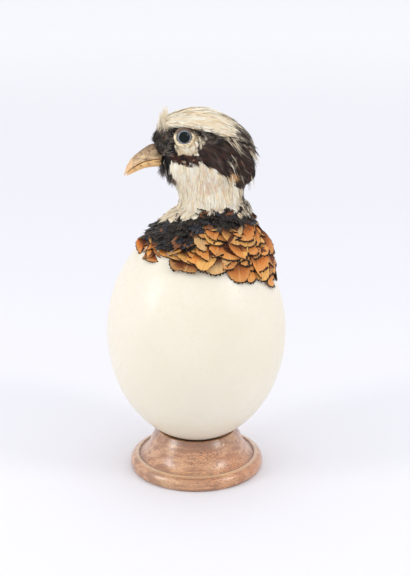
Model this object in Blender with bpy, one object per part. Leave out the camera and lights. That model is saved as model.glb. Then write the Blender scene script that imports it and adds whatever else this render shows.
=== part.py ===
"""Ostrich egg curio: a mounted hen's head and neck rising from an ostrich egg on a turned wooden stand.

Metres, +Z up. The origin is the centre of the stand's underside. The bird faces -X, and the left and
right halves of the bird mirror each other across the plane y = 0 (the bird's left side is -Y).
Each tract of feathers is one plain closed solid that reaches the feathers' tips.
"""

from math import cos, pi, radians, sin, sqrt

import bmesh
import bpy
from mathutils import Matrix, Vector

# Driving dimensions
GAP = 0.0003                    # clearance between pieces that touch

FOOT_RADIUS = 0.0488            # stand, at the underside
BEAD_RADIUS = 0.0495            # stand, widest point
STAND_HEIGHT = 0.0300
RIM_RADIUS = 0.0297             # stand, outer edge of the top
DISH_RADIUS = 0.0268            # stand, mouth of the dish that takes the egg
SEAT_RADIUS = 0.0245            # the dish follows the egg inside this radius
STAND_SIDES = 36

EGG_RADIUS = 0.0650
EGG_HALF_LENGTH = 0.0824
EGG_CENTRE_Z = 0.1058
EGG_SIDES = 36
EGG_RINGS = 18

EYE_RADIUS = 0.0062
EYE_X = -0.0082
EYE_Y = 0.0128
EYE_Z = 0.2512

HEAD_SIDES = 28
HEAD_LEVELS = 18
TRACT_SIDES = 28
TRACT_LEVELS = 7
BEAK_SIDES = 14

# Rows of the stacked bodies: height at the front, height at the back, x at the front, x at the back,
# half-width. Rows run upwards, and a row slopes where its two heights differ.
HEAD_ROWS = (
    (0.1680, 0.1680, -0.0190, 0.0390, 0.0255),
    (0.1800, 0.1800, -0.0215, 0.0400, 0.0265),
    (0.1880, 0.1890, -0.0235, 0.0395, 0.0262),
    (0.1950, 0.1960, -0.0180, 0.0378, 0.0245),
    (0.2030, 0.2030, -0.0142, 0.0360, 0.0225),
    (0.2110, 0.2110, -0.0140, 0.0355, 0.0205),
    (0.2170, 0.2180, -0.0185, 0.0362, 0.0188),
    (0.2230, 0.2250, -0.0245, 0.0375, 0.0178),
    (0.2300, 0.2320, -0.0285, 0.0382, 0.0176),
    (0.2380, 0.2390, -0.0300, 0.0378, 0.0178),
    (0.2450, 0.2450, -0.0305, 0.0362, 0.0176),
    (0.2510, 0.2500, -0.0292, 0.0335, 0.0165),
    (0.2565, 0.2550, -0.0235, 0.0290, 0.0142),
    (0.2610, 0.2595, -0.0155, 0.0215, 0.0104),
    (0.2638, 0.2628, -0.0075, 0.0120, 0.0056),
)
CROWN_ROWS = (
    (0.2590, 0.2340, -0.0262, 0.0412, 0.0186),
    (0.2610, 0.2410, -0.0245, 0.0410, 0.0182),
    (0.2635, 0.2490, -0.0205, 0.0375, 0.0160),
    (0.2660, 0.2560, -0.0145, 0.0312, 0.0126),
    (0.2680, 0.2620, -0.0078, 0.0225, 0.0084),
    (0.2690, 0.2665, -0.0028, 0.0130, 0.0042),
)
DROOP = 3                       # the crown and the cape fall mostly at the back
RUFF_ROWS = (
    (0.1640, 0.1720, -0.0425, 0.0500, 0.0400),
    (0.1700, 0.1780, -0.0428, 0.0495, 0.0398),
    (0.1770, 0.1845, -0.0398, 0.0470, 0.0365),
    (0.1845, 0.1910, -0.0335, 0.0445, 0.0325),
    (0.1915, 0.1975, -0.0262, 0.0420, 0.0285),
    (0.1965, 0.2025, -0.0205, 0.0398, 0.0252),
)
CAPE_ROWS = (
    (0.1600, 0.1440, -0.0470, 0.0585, 0.0485),
    (0.1650, 0.1500, -0.0452, 0.0570, 0.0488),
    (0.1690, 0.1590, -0.0432, 0.0556, 0.0470),
    (0.1730, 0.1680, -0.0405, 0.0546, 0.0430),
    (0.1765, 0.1750, -0.0365, 0.0520, 0.0385),
    (0.1790, 0.1810, -0.0315, 0.0475, 0.0330),
)

# Stations of each half of the beak, from its root inside the head to its tip: x of the station, upper
# edge, lower edge and half-width.
UPPER_BEAK_STATIONS = (
    (-0.0235, 0.2430, 0.2337, 0.0062),
    (-0.0300, 0.2448, 0.2334, 0.0064),
    (-0.0355, 0.2418, 0.2319, 0.0057),
    (-0.0400, 0.2381, 0.2297, 0.0049),
    (-0.0440, 0.2348, 0.2272, 0.0040),
    (-0.0470, 0.2312, 0.2248, 0.0030),
    (-0.0490, 0.2272, 0.2226, 0.0019),
    (-0.0503, 0.2228, 0.2206, 0.0008),
)
LOWER_BEAK_STATIONS = (
    (-0.0235, 0.2333, 0.2270, 0.0056),
    (-0.0300, 0.2330, 0.2268, 0.0055),
    (-0.0355, 0.2315, 0.2264, 0.0048),
    (-0.0400, 0.2293, 0.2245, 0.0040),
    (-0.0440, 0.2268, 0.2228, 0.0031),
    (-0.0468, 0.2244, 0.2216, 0.0021),
    (-0.0486, 0.2225, 0.2210, 0.0012),
)
SOCKET_LENGTH = 0.0200          # the hole for the beak's root, out past the face


def clear_scene():
    for obj in list(bpy.data.objects):
        bpy.data.objects.remove(obj, do_unlink=True)


def make_material(name, colour, roughness, metallic=0.0):
    material = bpy.data.materials.new(name)
    material.use_nodes = True
    shader = material.node_tree.nodes["Principled BSDF"]
    shader.inputs["Base Color"].default_value = (*colour, 1.0)
    shader.inputs["Roughness"].default_value = roughness
    shader.inputs["Metallic"].default_value = metallic
    return material


def add_object(name, bm, material, sharp_angle=40):
    """A node from a bmesh, with its faces facing out, shaded smooth except across sharp edges."""
    bmesh.ops.recalc_face_normals(bm, faces=bm.faces)
    mesh = bpy.data.meshes.new(name)
    bm.to_mesh(mesh)
    bm.free()
    mesh.shade_smooth()
    mesh.set_sharp_from_angle(angle=radians(sharp_angle))
    if material:
        mesh.materials.append(material)
    obj = bpy.data.objects.new(name, mesh)
    bpy.context.scene.collection.objects.link(obj)
    return obj


def add_cutter(name, bm):
    cutter = add_object(name, bm, None)
    cutter.hide_render = True
    cutter.display_type = "WIRE"
    return cutter


def cut(obj, *cutters):
    for cutter in cutters:
        boolean = obj.modifiers.new("cut by " + cutter.name, "BOOLEAN")
        boolean.operation = "DIFFERENCE"
        boolean.solver = "EXACT"
        boolean.object = cutter


def bezier(start, first, second, end, count):
    """Points of a cubic curve in the plane, without its first point."""
    points = []
    for step in range(1, count + 1):
        t = step / count
        s = 1 - t
        points.append(
            tuple(
                s**3 * a + 3 * s * s * t * b + 3 * s * t * t * c + t**3 * d
                for a, b, c, d in zip(start, first, second, end)
            )
        )
    return points


def between(rows, position):
    """The row at a fractional position along the rows, on a smooth curve through them."""
    last = len(rows) - 1
    index = min(int(position), last - 1)
    t = position - index
    before, start, end, after = (
        rows[max(0, min(last, index + shift))] for shift in (-1, 0, 1, 2)
    )
    return tuple(
        b + 0.5 * t * (c - a + t * (2 * a - 5 * b + 4 * c - d + t * (3 * (b - c) + d - a)))
        for a, b, c, d in zip(before, start, end, after)
    )


def bridge_rings(bm, rings):
    """Walls between the rings of points, and a fan about the middle of the first and the last ring."""
    loops = [[bm.verts.new(point) for point in ring] for ring in rings]
    count = len(loops[0])
    for lower, upper in zip(loops, loops[1:]):
        for i in range(count):
            j = (i + 1) % count
            bm.faces.new((lower[i], lower[j], upper[j], upper[i]))
    for loop in (loops[0], loops[-1]):
        middle = bm.verts.new(sum((vert.co for vert in loop), Vector()) / count)
        for i in range(count):
            bm.faces.new((loop[i], loop[(i + 1) % count], middle))


def stacked_body(rows, levels, sides, grow=0.0, droop=1):
    """A rounded body from oval rows; grow moves its surface outwards, and a high droop keeps a row's
    slope to its back.
    """
    rings = []
    for level in range(levels + 1):
        front_z, back_z, front, back, half_width = between(rows, level * (len(rows) - 1) / levels)
        centre = (front + back) / 2
        reach = (back - front) / 2 + grow
        lift = grow * (2 * level / levels - 1)
        ring = []
        for side in range(sides):
            angle = 2 * pi * side / sides
            slope = (0.5 + 0.5 * cos(angle)) ** droop
            height = front_z + (back_z - front_z) * slope + lift
            ring.append((centre + reach * cos(angle), (half_width + grow) * sin(angle), height))
        rings.append(ring)
    bm = bmesh.new()
    bridge_rings(bm, rings)
    return bm


def egg_body(grow=0.0, sides=EGG_SIDES, rings=EGG_RINGS):
    bm = bmesh.new()
    bmesh.ops.create_uvsphere(bm, u_segments=sides, v_segments=rings, radius=1.0)
    size = Vector((EGG_RADIUS + grow, EGG_RADIUS + grow, EGG_HALF_LENGTH + grow))
    bmesh.ops.scale(bm, vec=size, verts=bm.verts)
    bmesh.ops.translate(bm, vec=(0, 0, EGG_CENTRE_Z), verts=bm.verts)
    return bm


def egg_underside(radius, gap):
    """Height of the egg's underside at this radius, lowered by a gap."""
    share = sqrt(1 - (radius / EGG_RADIUS) ** 2)
    return EGG_CENTRE_Z - EGG_HALF_LENGTH * share - gap


def stand_profile():
    """The turned outline from the centre of the dish over the rim and the cove to the underside."""
    dish = []
    for step in range(5):
        radius = SEAT_RADIUS * step / 4
        dish.append((radius, egg_underside(radius, 2 * GAP)))
    rim = [
        (DISH_RADIUS, STAND_HEIGHT - 0.0008),
        (RIM_RADIUS - 0.0012, STAND_HEIGHT),
        (RIM_RADIUS - 0.0003, STAND_HEIGHT - 0.0003),
    ]
    cove_top = (RIM_RADIUS, STAND_HEIGHT - 0.0012)
    cove_foot = (0.0412, 0.0100)
    cove = [cove_top] + bezier(cove_top, (0.0348, 0.0225), (0.0342, 0.0140), cove_foot, 6)
    groove = [(0.0416, 0.0090), (0.0424, 0.0089), (0.0428, 0.0098)]
    bead = bezier(groove[-1], (0.0468, 0.0108), (0.0498, 0.0078), (BEAD_RADIUS, 0.0042), 5)
    foot = [(FOOT_RADIUS + 0.0004, 0.0010), (FOOT_RADIUS - 0.0004, 0.0)]
    return dish + rim + cove + groove + bead + foot


def make_stand(material):
    """One turned piece of wood: the profile spun round the axis, with a flat underside."""
    bm = bmesh.new()
    points = [bm.verts.new((radius, 0, z)) for radius, z in stand_profile() + [(0.0, 0.0)]]
    edges = [bm.edges.new(pair) for pair in zip(points, points[1:])]
    bmesh.ops.spin(
        bm,
        geom=points + edges,
        cent=(0, 0, 0),
        axis=(0, 0, 1),
        angle=2 * pi,
        steps=STAND_SIDES,
        use_merge=True,
    )
    bmesh.ops.remove_doubles(bm, verts=bm.verts, dist=0.00005)
    return add_object("stand", bm, material, sharp_angle=50)


def make_egg(material):
    return add_object("egg", egg_body(), material)


def beak_body(stations, arch, grow=0.0):
    """A beak half from its root to its tip: arch is 1 when its rounded side is above, -1 when below."""
    rings = []
    for x, top, bottom, half_width in stations:
        ring = []
        mouth = bottom if arch > 0 else top
        shoulder = 0.12 * (top - bottom)
        for side in range(BEAK_SIDES):
            angle = 2 * pi * side / BEAK_SIDES
            rise = sin(angle)
            reach = top - bottom - shoulder if rise > 0 else shoulder
            narrowing = 1 - 0.35 * max(0, rise)
            y = (half_width + grow) * cos(angle) * narrowing
            z = mouth + arch * (shoulder + rise * (reach + grow))
            ring.append((x, y, z))
        rings.append(ring)
    rings[0] = [(x + grow, y, z) for x, y, z in rings[0]]
    rings[-1] = [(x - grow, y, z) for x, y, z in rings[-1]]
    bm = bmesh.new()
    bridge_rings(bm, rings)
    return bm


def beak_socket():
    """The opening in the face that takes the roots of both halves of the beak: an oval hole along X."""
    bm = bmesh.new()
    bmesh.ops.create_cone(
        bm, cap_ends=True, segments=20, radius1=1.0, radius2=1.0, depth=1.0,
        matrix=Matrix.Rotation(pi / 2, 4, "Y"),
    )
    root_x = UPPER_BEAK_STATIONS[0][0] + GAP
    bmesh.ops.scale(bm, vec=(SOCKET_LENGTH, 0.0071, 0.0099), verts=bm.verts)
    bmesh.ops.translate(bm, vec=(root_x - SOCKET_LENGTH / 2, 0, 0.2358), verts=bm.verts)
    return bm


def eye_body(side, grow=0.0):
    bm = bmesh.new()
    turned = Matrix.Rotation(pi / 2, 4, "X")
    bmesh.ops.create_uvsphere(
        bm, u_segments=18, v_segments=10, radius=EYE_RADIUS + grow, matrix=turned
    )
    bmesh.ops.translate(bm, vec=(EYE_X, side * EYE_Y, EYE_Z), verts=bm.verts)
    return bm


def ear_body(side, grow=0.0):
    """The dark feathers that sweep back and down from the eye over the ear: a flat lens."""
    bm = bmesh.new()
    bmesh.ops.create_uvsphere(bm, u_segments=18, v_segments=10, radius=1.0)
    size = Vector((0.0238 + grow, 0.0052 + grow, 0.0145 + grow))
    bmesh.ops.scale(bm, vec=size, verts=bm.verts)
    droop = Matrix.Rotation(radians(33), 3, "Y")
    bmesh.ops.rotate(bm, cent=(0, 0, 0), matrix=droop, verts=bm.verts)
    toe_in = Matrix.Rotation(side * radians(-16), 3, "Z")
    bmesh.ops.rotate(bm, cent=(0, 0, 0), matrix=toe_in, verts=bm.verts)
    bmesh.ops.translate(bm, vec=(0.0210, side * 0.0148, 0.2330), verts=bm.verts)
    return bm


def chin_body():
    """The black tuft under the root of the beak."""
    bm = bmesh.new()
    bmesh.ops.create_uvsphere(bm, u_segments=16, v_segments=10, radius=1.0)
    bmesh.ops.scale(bm, vec=(0.0062, 0.0092, 0.0072), verts=bm.verts)
    bmesh.ops.translate(bm, vec=(-0.0222, 0, 0.2205), verts=bm.verts)
    return bm


def head_body(grow=0.0):
    return stacked_body(HEAD_ROWS, HEAD_LEVELS, HEAD_SIDES, grow)


def crown_body(grow=0.0):
    return stacked_body(CROWN_ROWS, TRACT_LEVELS, TRACT_SIDES, grow, DROOP)


def cape_body(grow=0.0):
    return stacked_body(CAPE_ROWS, TRACT_LEVELS, TRACT_SIDES, grow, DROOP)


def make_bird(materials):
    """The mounted head and neck, its beak, its glass eyes and its tracts of feathers."""
    egg_cutter = add_cutter("cut_egg", egg_body(GAP))
    head_cutter = add_cutter("cut_head", head_body(GAP))
    crown_cutter = add_cutter("cut_crown", crown_body(GAP))
    cape_cutter = add_cutter("cut_cape", cape_body(GAP))
    socket_cutter = add_cutter("cut_beak_socket", beak_socket())
    lower_cutter = add_cutter("cut_lower_beak", beak_body(LOWER_BEAK_STATIONS, -1, GAP))

    head = add_object("head_and_neck", head_body(), materials["plumage_cream"])
    cut(head, egg_cutter, socket_cutter)
    upper = beak_body(UPPER_BEAK_STATIONS, 1)
    lower = beak_body(LOWER_BEAK_STATIONS, -1)
    upper_beak = add_object("upper_beak", upper, materials["horn"])
    lower_beak = add_object("lower_beak", lower, materials["horn_pale"])

    crown_feathers = add_object("crown_feathers", crown_body(), materials["plumage_cream"])
    cut(crown_feathers, head_cutter)
    chin_feathers = add_object("chin_feathers", chin_body(), materials["plumage_black"])
    cut(chin_feathers, head_cutter, lower_cutter)
    cape_feathers = add_object("cape_feathers", cape_body(), materials["plumage_rust"])
    cut(cape_feathers, egg_cutter, head_cutter)
    ruff = stacked_body(RUFF_ROWS, TRACT_LEVELS, TRACT_SIDES)
    ruff_feathers = add_object("ruff_feathers", ruff, materials["plumage_black"])
    cut(ruff_feathers, cape_cutter, head_cutter, egg_cutter)

    pieces = [head, upper_beak, lower_beak, crown_feathers, chin_feathers, cape_feathers, ruff_feathers]
    for word, side in (("left", -1), ("right", 1)):
        socket = add_cutter("cut_eye_" + word, eye_body(side, GAP))
        cut(head, socket)
        eye = add_object("eye_" + word, eye_body(side), materials["eye_glass"])
        ear = add_object("ear_feathers_" + word, ear_body(side), materials["plumage_dark"])
        cut(ear, head_cutter, crown_cutter)
        pieces += [eye, ear]
    return pieces


def main():
    clear_scene()
    materials = {
        "turned_wood": make_material("turned_wood", (0.40, 0.24, 0.14), 0.45),
        "eggshell": make_material("eggshell", (0.92, 0.88, 0.76), 0.32),
        "plumage_cream": make_material("plumage_cream", (0.86, 0.76, 0.58), 0.80),
        "plumage_black": make_material("plumage_black", (0.02, 0.02, 0.02), 0.60),
        "plumage_dark": make_material("plumage_dark", (0.05, 0.03, 0.02), 0.65),
        "plumage_rust": make_material("plumage_rust", (0.50, 0.22, 0.07), 0.65),
        "horn": make_material("horn", (0.55, 0.42, 0.30), 0.40),
        "horn_pale": make_material("horn_pale", (0.70, 0.45, 0.20), 0.40),
        "eye_glass": make_material("eye_glass", (0.05, 0.06, 0.07), 0.05),
    }
    pieces = [make_stand(materials["turned_wood"]), make_egg(materials["eggshell"])]
    pieces += make_bird(materials)
    assembly = bpy.data.objects.new("ostrich_egg", None)
    bpy.context.scene.collection.objects.link(assembly)
    for piece in pieces:
        piece.parent = assembly


main()
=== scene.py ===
"""Looks of the ostrich egg curio: an ostrich egg on a turned stand, with a mounted hen's head and neck
rising from its top and the bird's feathers laid over the egg like a cape.

Metres, +Z up. The bird faces -X. The file follows the object as it is put together.
"""

from math import cos, pi, radians, sin, sqrt

import bpy
import numpy as np
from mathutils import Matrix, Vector
from mathutils.bvhtree import BVHTree


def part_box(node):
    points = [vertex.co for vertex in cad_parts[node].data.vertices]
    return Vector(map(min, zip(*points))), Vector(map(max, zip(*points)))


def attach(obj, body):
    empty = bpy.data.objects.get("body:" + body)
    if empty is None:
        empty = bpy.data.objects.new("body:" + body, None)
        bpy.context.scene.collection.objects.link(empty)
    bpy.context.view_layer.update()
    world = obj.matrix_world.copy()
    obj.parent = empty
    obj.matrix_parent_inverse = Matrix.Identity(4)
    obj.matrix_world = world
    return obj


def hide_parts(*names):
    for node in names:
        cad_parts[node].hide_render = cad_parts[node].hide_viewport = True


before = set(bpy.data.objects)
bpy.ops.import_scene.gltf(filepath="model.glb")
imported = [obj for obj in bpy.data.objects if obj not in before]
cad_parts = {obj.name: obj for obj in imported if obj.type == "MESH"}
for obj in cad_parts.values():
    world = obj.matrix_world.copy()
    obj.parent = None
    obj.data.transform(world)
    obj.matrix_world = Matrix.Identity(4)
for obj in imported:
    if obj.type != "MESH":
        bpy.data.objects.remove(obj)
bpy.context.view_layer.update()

# --- Stand -------------------------------------------------------------------------------------------
# One piece of open-pored hardwood turned on a lathe: a dished top that takes the egg, a cove and a
# beaded foot. It is only rubbed with wax, so the pores stay open and the rim has a small drying crack.

STAND_SIDES = 240
CRACK_AT = -52.5
CRACK_HALF_WIDTH = 1.3
CRACK_DEPTH = 0.0035
GROOVE_LOW = 0.0090
GROOVE_HIGH = 0.0098
GROOVE_EDGE = 0.0430
DARKER_BAND_DEPTH = 0.009
stand_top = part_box("stand")[1]
bead_radius = stand_top.x
stand_height = stand_top.z
foot_radius = bead_radius - 0.0007
rim_radius = 0.60 * bead_radius
egg_low, egg_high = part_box("egg")
egg_radius = egg_high.x
egg_half = (egg_high.z - egg_low.z) / 2
egg_middle = (egg_high.z + egg_low.z) / 2


def hue(red, green, blue):
    """A colour written as on a paint chart, 0 to 255, as the linear colour that a shader takes."""
    parts = [value / 255 for value in (red, green, blue)]
    return tuple(p / 12.92 if p <= 0.04045 else ((p + 0.055) / 1.055) ** 2.4 for p in parts) + (1.0,)


def curve(start, first, second, end, count):
    """Points along a cubic curve in the plane, without its first point."""
    t = np.linspace(0, 1, count + 1)[1:, None]
    s = 1 - t
    start, first, second, end = (np.array(point) for point in (start, first, second, end))
    return (s**3 * start + 3 * s * s * t * first + 3 * s * t * t * second + t**3 * end).tolist()


def turn(name, outline, sides):
    """Turns a piece about the Z axis: a disc is drawn out and resized from point to point of an outline."""
    bpy.ops.object.select_all(action="DESELECT")
    radius, height = outline[0]
    bpy.ops.mesh.primitive_circle_add(
        vertices=sides, radius=radius, fill_type="NGON", location=(0, 0, height)
    )
    piece = bpy.context.object
    piece.name = name
    bpy.ops.object.mode_set(mode="EDIT")
    bpy.ops.mesh.select_all(action="SELECT")
    for next_radius, next_height in outline[1:]:
        bpy.ops.mesh.extrude_region_move(
            TRANSFORM_OT_translate={"value": (0, 0, next_height - height)}
        )
        grown = next_radius / radius
        bpy.ops.transform.resize(value=(grown, grown, 1), center_override=(0, 0, next_height))
        radius, height = next_radius, next_height
    bpy.ops.mesh.select_all(action="SELECT")
    bpy.ops.mesh.normals_make_consistent(inside=False)
    bpy.ops.object.mode_set(mode="OBJECT")
    settle(piece)
    return piece


def pick(piece):
    """Selects one piece and nothing else."""
    bpy.ops.object.select_all(action="DESELECT")
    piece.select_set(True)
    bpy.context.view_layer.objects.active = piece


def settle(piece):
    """Puts a piece's place into its mesh, with its object at the origin, unturned and unscaled."""
    pick(piece)
    bpy.ops.object.transform_apply(location=True, rotation=True, scale=True)
    bpy.ops.object.shade_smooth_by_angle(angle=radians(40))


def wire(tree, value, socket):
    """Gives a socket a number, a colour or another node's output."""
    if isinstance(value, bpy.types.NodeSocket):
        tree.links.new(value, socket)
    elif value is not None:
        socket.default_value = value


def maths(tree, operation, first, second=0.0):
    node = tree.nodes.new("ShaderNodeMath")
    node.operation = operation
    wire(tree, first, node.inputs[0])
    wire(tree, second, node.inputs[1])
    return node.outputs[0]


def times(tree, first, second):
    return maths(tree, "MULTIPLY", first, second)


def vector_maths(tree, operation, first, second=None):
    node = tree.nodes.new("ShaderNodeVectorMath")
    node.operation = operation
    wire(tree, first, node.inputs[0])
    wire(tree, second, node.inputs[1])
    return node.outputs


def axes(tree, vector):
    """The X, Y and Z of some coordinates."""
    node = tree.nodes.new("ShaderNodeSeparateXYZ")
    tree.links.new(vector, node.inputs[0])
    return node.outputs


def ranged(tree, value, low, high, to_low=0.0, to_high=1.0):
    """A smooth step of a value from one range to another."""
    node = tree.nodes.new("ShaderNodeMapRange")
    node.interpolation_type = "SMOOTHSTEP"
    for socket, given in zip(node.inputs, (value, low, high, to_low, to_high)):
        wire(tree, given, socket)
    return node.outputs[0]


def blended(tree, share, first, second, way="MIX"):
    """Two colours mixed by a share."""
    node = tree.nodes.new("ShaderNodeMix")
    node.data_type = "RGBA"
    node.blend_type = way
    wire(tree, share, node.inputs["Factor"])
    wire(tree, first, node.inputs[6])
    wire(tree, second, node.inputs[7])
    return node.outputs[2]


def stretched(tree, source, scale, turned=(0, 0, 0)):
    """Coordinates with a pattern drawn out or turned."""
    node = tree.nodes.new("ShaderNodeMapping")
    tree.links.new(source, node.inputs["Vector"])
    node.inputs["Scale"].default_value = scale
    node.inputs["Rotation"].default_value = turned
    return node.outputs[0]


def noise(tree, source, scale, detail=3.0, roughness=0.55):
    node = tree.nodes.new("ShaderNodeTexNoise")
    tree.links.new(source, node.inputs["Vector"])
    node.inputs["Scale"].default_value = scale
    node.inputs["Detail"].default_value = detail
    node.inputs["Roughness"].default_value = roughness
    return node.outputs[0]


def bumped(tree, height, distance, strength=1.0):
    node = tree.nodes.new("ShaderNodeBump")
    tree.links.new(height, node.inputs["Height"])
    node.inputs["Distance"].default_value = distance
    node.inputs["Strength"].default_value = strength
    return node.outputs[0]


def new_material(name):
    """A material with its node tree, its Principled shader and the piece's Object coordinates."""
    material = bpy.data.materials.new(name)
    material.use_nodes = True
    tree = material.node_tree
    shader = tree.nodes["Principled BSDF"]
    place = tree.nodes.new("ShaderNodeTexCoord").outputs["Object"]
    return material, tree, shader, place


def turned_wood():
    """Greyed hardwood with its grain along X: bands of growth, long fibres and short dark pores."""
    material, tree, shader, place = new_material("turned_wood")
    waver = noise(tree, stretched(tree, place, (10, 26, 34)), 1.0, 2.0)
    bands = noise(tree, stretched(tree, place, (5, 150, 260)), 1.0, 3.0, 0.5)
    fibres = noise(tree, stretched(tree, place, (90, 1500, 1900)), 1.0, 2.0, 0.6)
    pores = noise(tree, stretched(tree, place, (420, 2000, 2200)), 1.0, 1.0, 0.5)
    pore_mask = times(tree, ranged(tree, pores, 0.58, 0.66), ranged(tree, waver, 0.42, 0.58, 0.4, 1.0))
    colour = blended(tree, ranged(tree, bands, 0.38, 0.62), hue(168, 110, 68), hue(218, 164, 116))
    colour = blended(tree, ranged(tree, waver, 0.46, 0.64, 0.0, 0.65), colour, hue(214, 138, 80))
    colour = blended(tree, ranged(tree, waver, 0.30, 0.44, 0.35, 0.0), colour, hue(180, 154, 122))
    colour = blended(tree, ranged(tree, fibres, 0.40, 0.72, 0.0, 0.55), colour, hue(118, 84, 58))
    colour = blended(tree, times(tree, pore_mask, 0.85), colour, hue(62, 42, 30))
    level = axes(tree, place)["Z"]
    reach = vector_maths(tree, "LENGTH", stretched(tree, place, (1, 1, 0)))["Value"]
    # The wood is darker in patches in a band just under the rim, below the egg.
    below_rim = ranged(tree, level, stand_height - DARKER_BAND_DEPTH, stand_height - 0.001)
    darker_under_rim = times(tree, below_rim, ranged(tree, waver, 0.42, 0.58, 0.35, 1.0))
    colour = blended(tree, times(tree, darker_under_rim, 0.7), colour, hue(104, 70, 44))
    # The edge of the bead above the groove is painted lighter, as a painted highlight.
    above_groove = ranged(tree, level, GROOVE_LOW - 0.0002, GROOVE_HIGH)
    painted_bead_highlight = times(tree, above_groove, ranged(tree, reach, GROOVE_EDGE, GROOVE_EDGE + 0.0006))
    colour = blended(tree, times(tree, painted_bead_highlight, 0.55), colour, hue(228, 196, 158))
    # The groove is painted darker, as painted shade in its hollow.
    painted_groove_shade = times(tree, ranged(tree, level, GROOVE_LOW, GROOVE_HIGH, 1.0, 0.0),
                      ranged(tree, reach, GROOVE_EDGE + 0.0004, GROOVE_EDGE))
    colour = blended(tree, times(tree, painted_groove_shade, 0.4), colour, hue(84, 54, 36))
    wire(tree, colour, shader.inputs["Base Color"])
    wire(tree, ranged(tree, fibres, 0.3, 0.7, 0.30, 0.44), shader.inputs["Roughness"])
    shader.inputs["Coat Weight"].default_value = 1.0
    shader.inputs["Coat IOR"].default_value = 1.7
    shader.inputs["Coat Roughness"].default_value = 0.27
    height = maths(tree, "SUBTRACT", times(tree, fibres, 0.25), pore_mask)
    wire(tree, bumped(tree, height, 0.00014), shader.inputs["Normal"])
    return material


def stand_outline():
    """The outline from the middle of the underside, up round the bead and the cove and into the dish."""
    outline = [(0.004, 0.0), (foot_radius - 0.0006, 0.0), (foot_radius, 0.0005)]
    bead_foot = (bead_radius - 0.0001, 0.0022)
    outline += [bead_foot]
    outline += curve(bead_foot, (bead_radius + 0.0002, 0.0066), (0.0480, 0.0086), (0.0450, 0.0096), 12)
    outline += [(0.0443, 0.0099), (0.0437, 0.0100), (0.0433, GROOVE_HIGH), (GROOVE_EDGE, 0.0093)]
    outline += [(0.0426, GROOVE_LOW)]
    cove_foot = (0.0416, 0.0098)
    cove_top = (rim_radius, stand_height - 0.0012)
    outline += [(0.0421, 0.0092), cove_foot]
    outline += curve(cove_foot, (0.0350, 0.0135), (0.0346, 0.0225), cove_top, 20)
    outline += [
        (rim_radius - 0.0002, stand_height - 0.0005),
        (rim_radius - 0.0006, stand_height - 0.0001),
        (rim_radius - 0.0012, stand_height),
        (rim_radius - 0.0024, stand_height - 0.0004),
        (rim_radius - 0.0032, stand_height - 0.0012),
    ]
    seat = np.linspace(rim_radius - 0.0050, 0.002, 8)
    seat_height = egg_middle - egg_half * np.sqrt(1 - (seat / egg_radius) ** 2) - 0.0006
    return outline + list(zip(seat.tolist(), seat_height.tolist()))


stand = turn("stand_turned", stand_outline(), STAND_SIDES)
for vertex in stand.data.vertices:
    turned_to = np.degrees(np.arctan2(vertex.co.y, vertex.co.x))
    if abs(turned_to - CRACK_AT) < CRACK_HALF_WIDTH and vertex.co.z > stand_height - CRACK_DEPTH:
        if vertex.co.xy.length > rim_radius - CRACK_DEPTH:
            vertex.co.z -= 0.0012
            vertex.co.xy *= 0.975
stand.data.materials.append(turned_wood())
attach(stand, "root")
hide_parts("stand")

# --- Egg ---------------------------------------------------------------------------------------------
# One ostrich eggshell, blown and cleaned. The shell is ivory, with a satin gloss and the fine pits of its
# pores, and it is never quite even under the hand.

EGG_SIDES = 192


def cells(tree, source, scale):
    """How far each place is from the nearest of many scattered points."""
    node = tree.nodes.new("ShaderNodeTexVoronoi")
    tree.links.new(source, node.inputs["Vector"])
    node.inputs["Scale"].default_value = scale
    return node.outputs["Distance"]


def eggshell():
    material, tree, shader, place = new_material("eggshell")
    clouds = noise(tree, place, 14.0, 3.0)
    mottle = noise(tree, place, 220.0, 2.0)
    pit_mask = ranged(tree, cells(tree, place, 520.0), 0.10, 0.26, 1.0, 0.0)
    speck_mask = ranged(tree, cells(tree, place, 42.0), 0.018, 0.030, 1.0, 0.0)
    colour = blended(tree, ranged(tree, clouds, 0.35, 0.65), hue(230, 223, 203), hue(234, 227, 210))
    colour = blended(tree, ranged(tree, mottle, 0.45, 0.70, 0.0, 0.35), colour, hue(230, 219, 198))
    colour = blended(tree, times(tree, pit_mask, 0.22), colour, hue(205, 188, 156))
    colour = blended(tree, times(tree, speck_mask, 0.65), colour, hue(150, 128, 100))
    wire(tree, colour, shader.inputs["Base Color"])
    wire(tree, ranged(tree, mottle, 0.3, 0.7, 0.30, 0.40), shader.inputs["Roughness"])
    shader.inputs["Subsurface Weight"].default_value = 0.12
    shader.inputs["Subsurface Radius"].default_value = (0.006, 0.004, 0.002)
    height = maths(tree, "SUBTRACT", times(tree, mottle, 0.4), pit_mask)
    wire(tree, bumped(tree, height, 0.00006), shader.inputs["Normal"])
    return material


bpy.ops.object.select_all(action="DESELECT")
bpy.ops.mesh.primitive_uv_sphere_add(
    segments=EGG_SIDES, ring_count=EGG_SIDES // 2, radius=egg_radius, location=(0, 0, egg_middle)
)
egg = bpy.context.object
egg.name = "egg_shell"
bpy.ops.object.mode_set(mode="EDIT")
bpy.ops.mesh.select_all(action="SELECT")
bpy.ops.transform.resize(value=(1, 1, egg_half / egg_radius), center_override=(0, 0, egg_middle))
bpy.ops.object.mode_set(mode="OBJECT")
unevenness = bpy.data.textures.new("unevenness", "CLOUDS")
unevenness.noise_scale = 0.045
swell = egg.modifiers.new("swell", "DISPLACE")
swell.texture = unevenness
swell.texture_coords = "LOCAL"
swell.strength = 0.0004
swell.mid_level = 0.5
bpy.ops.object.modifier_apply(modifier=swell.name)
settle(egg)
egg.data.materials.append(eggshell())
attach(egg, "root")
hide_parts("egg")

# --- Skin and down -----------------------------------------------------------------------------------
# The hen's skin was drawn over a carved filler and glued down on the egg, with its soft down still on.
# It is what shows in the gaps between feathers, so it takes the colour of the feathers above it.

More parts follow.
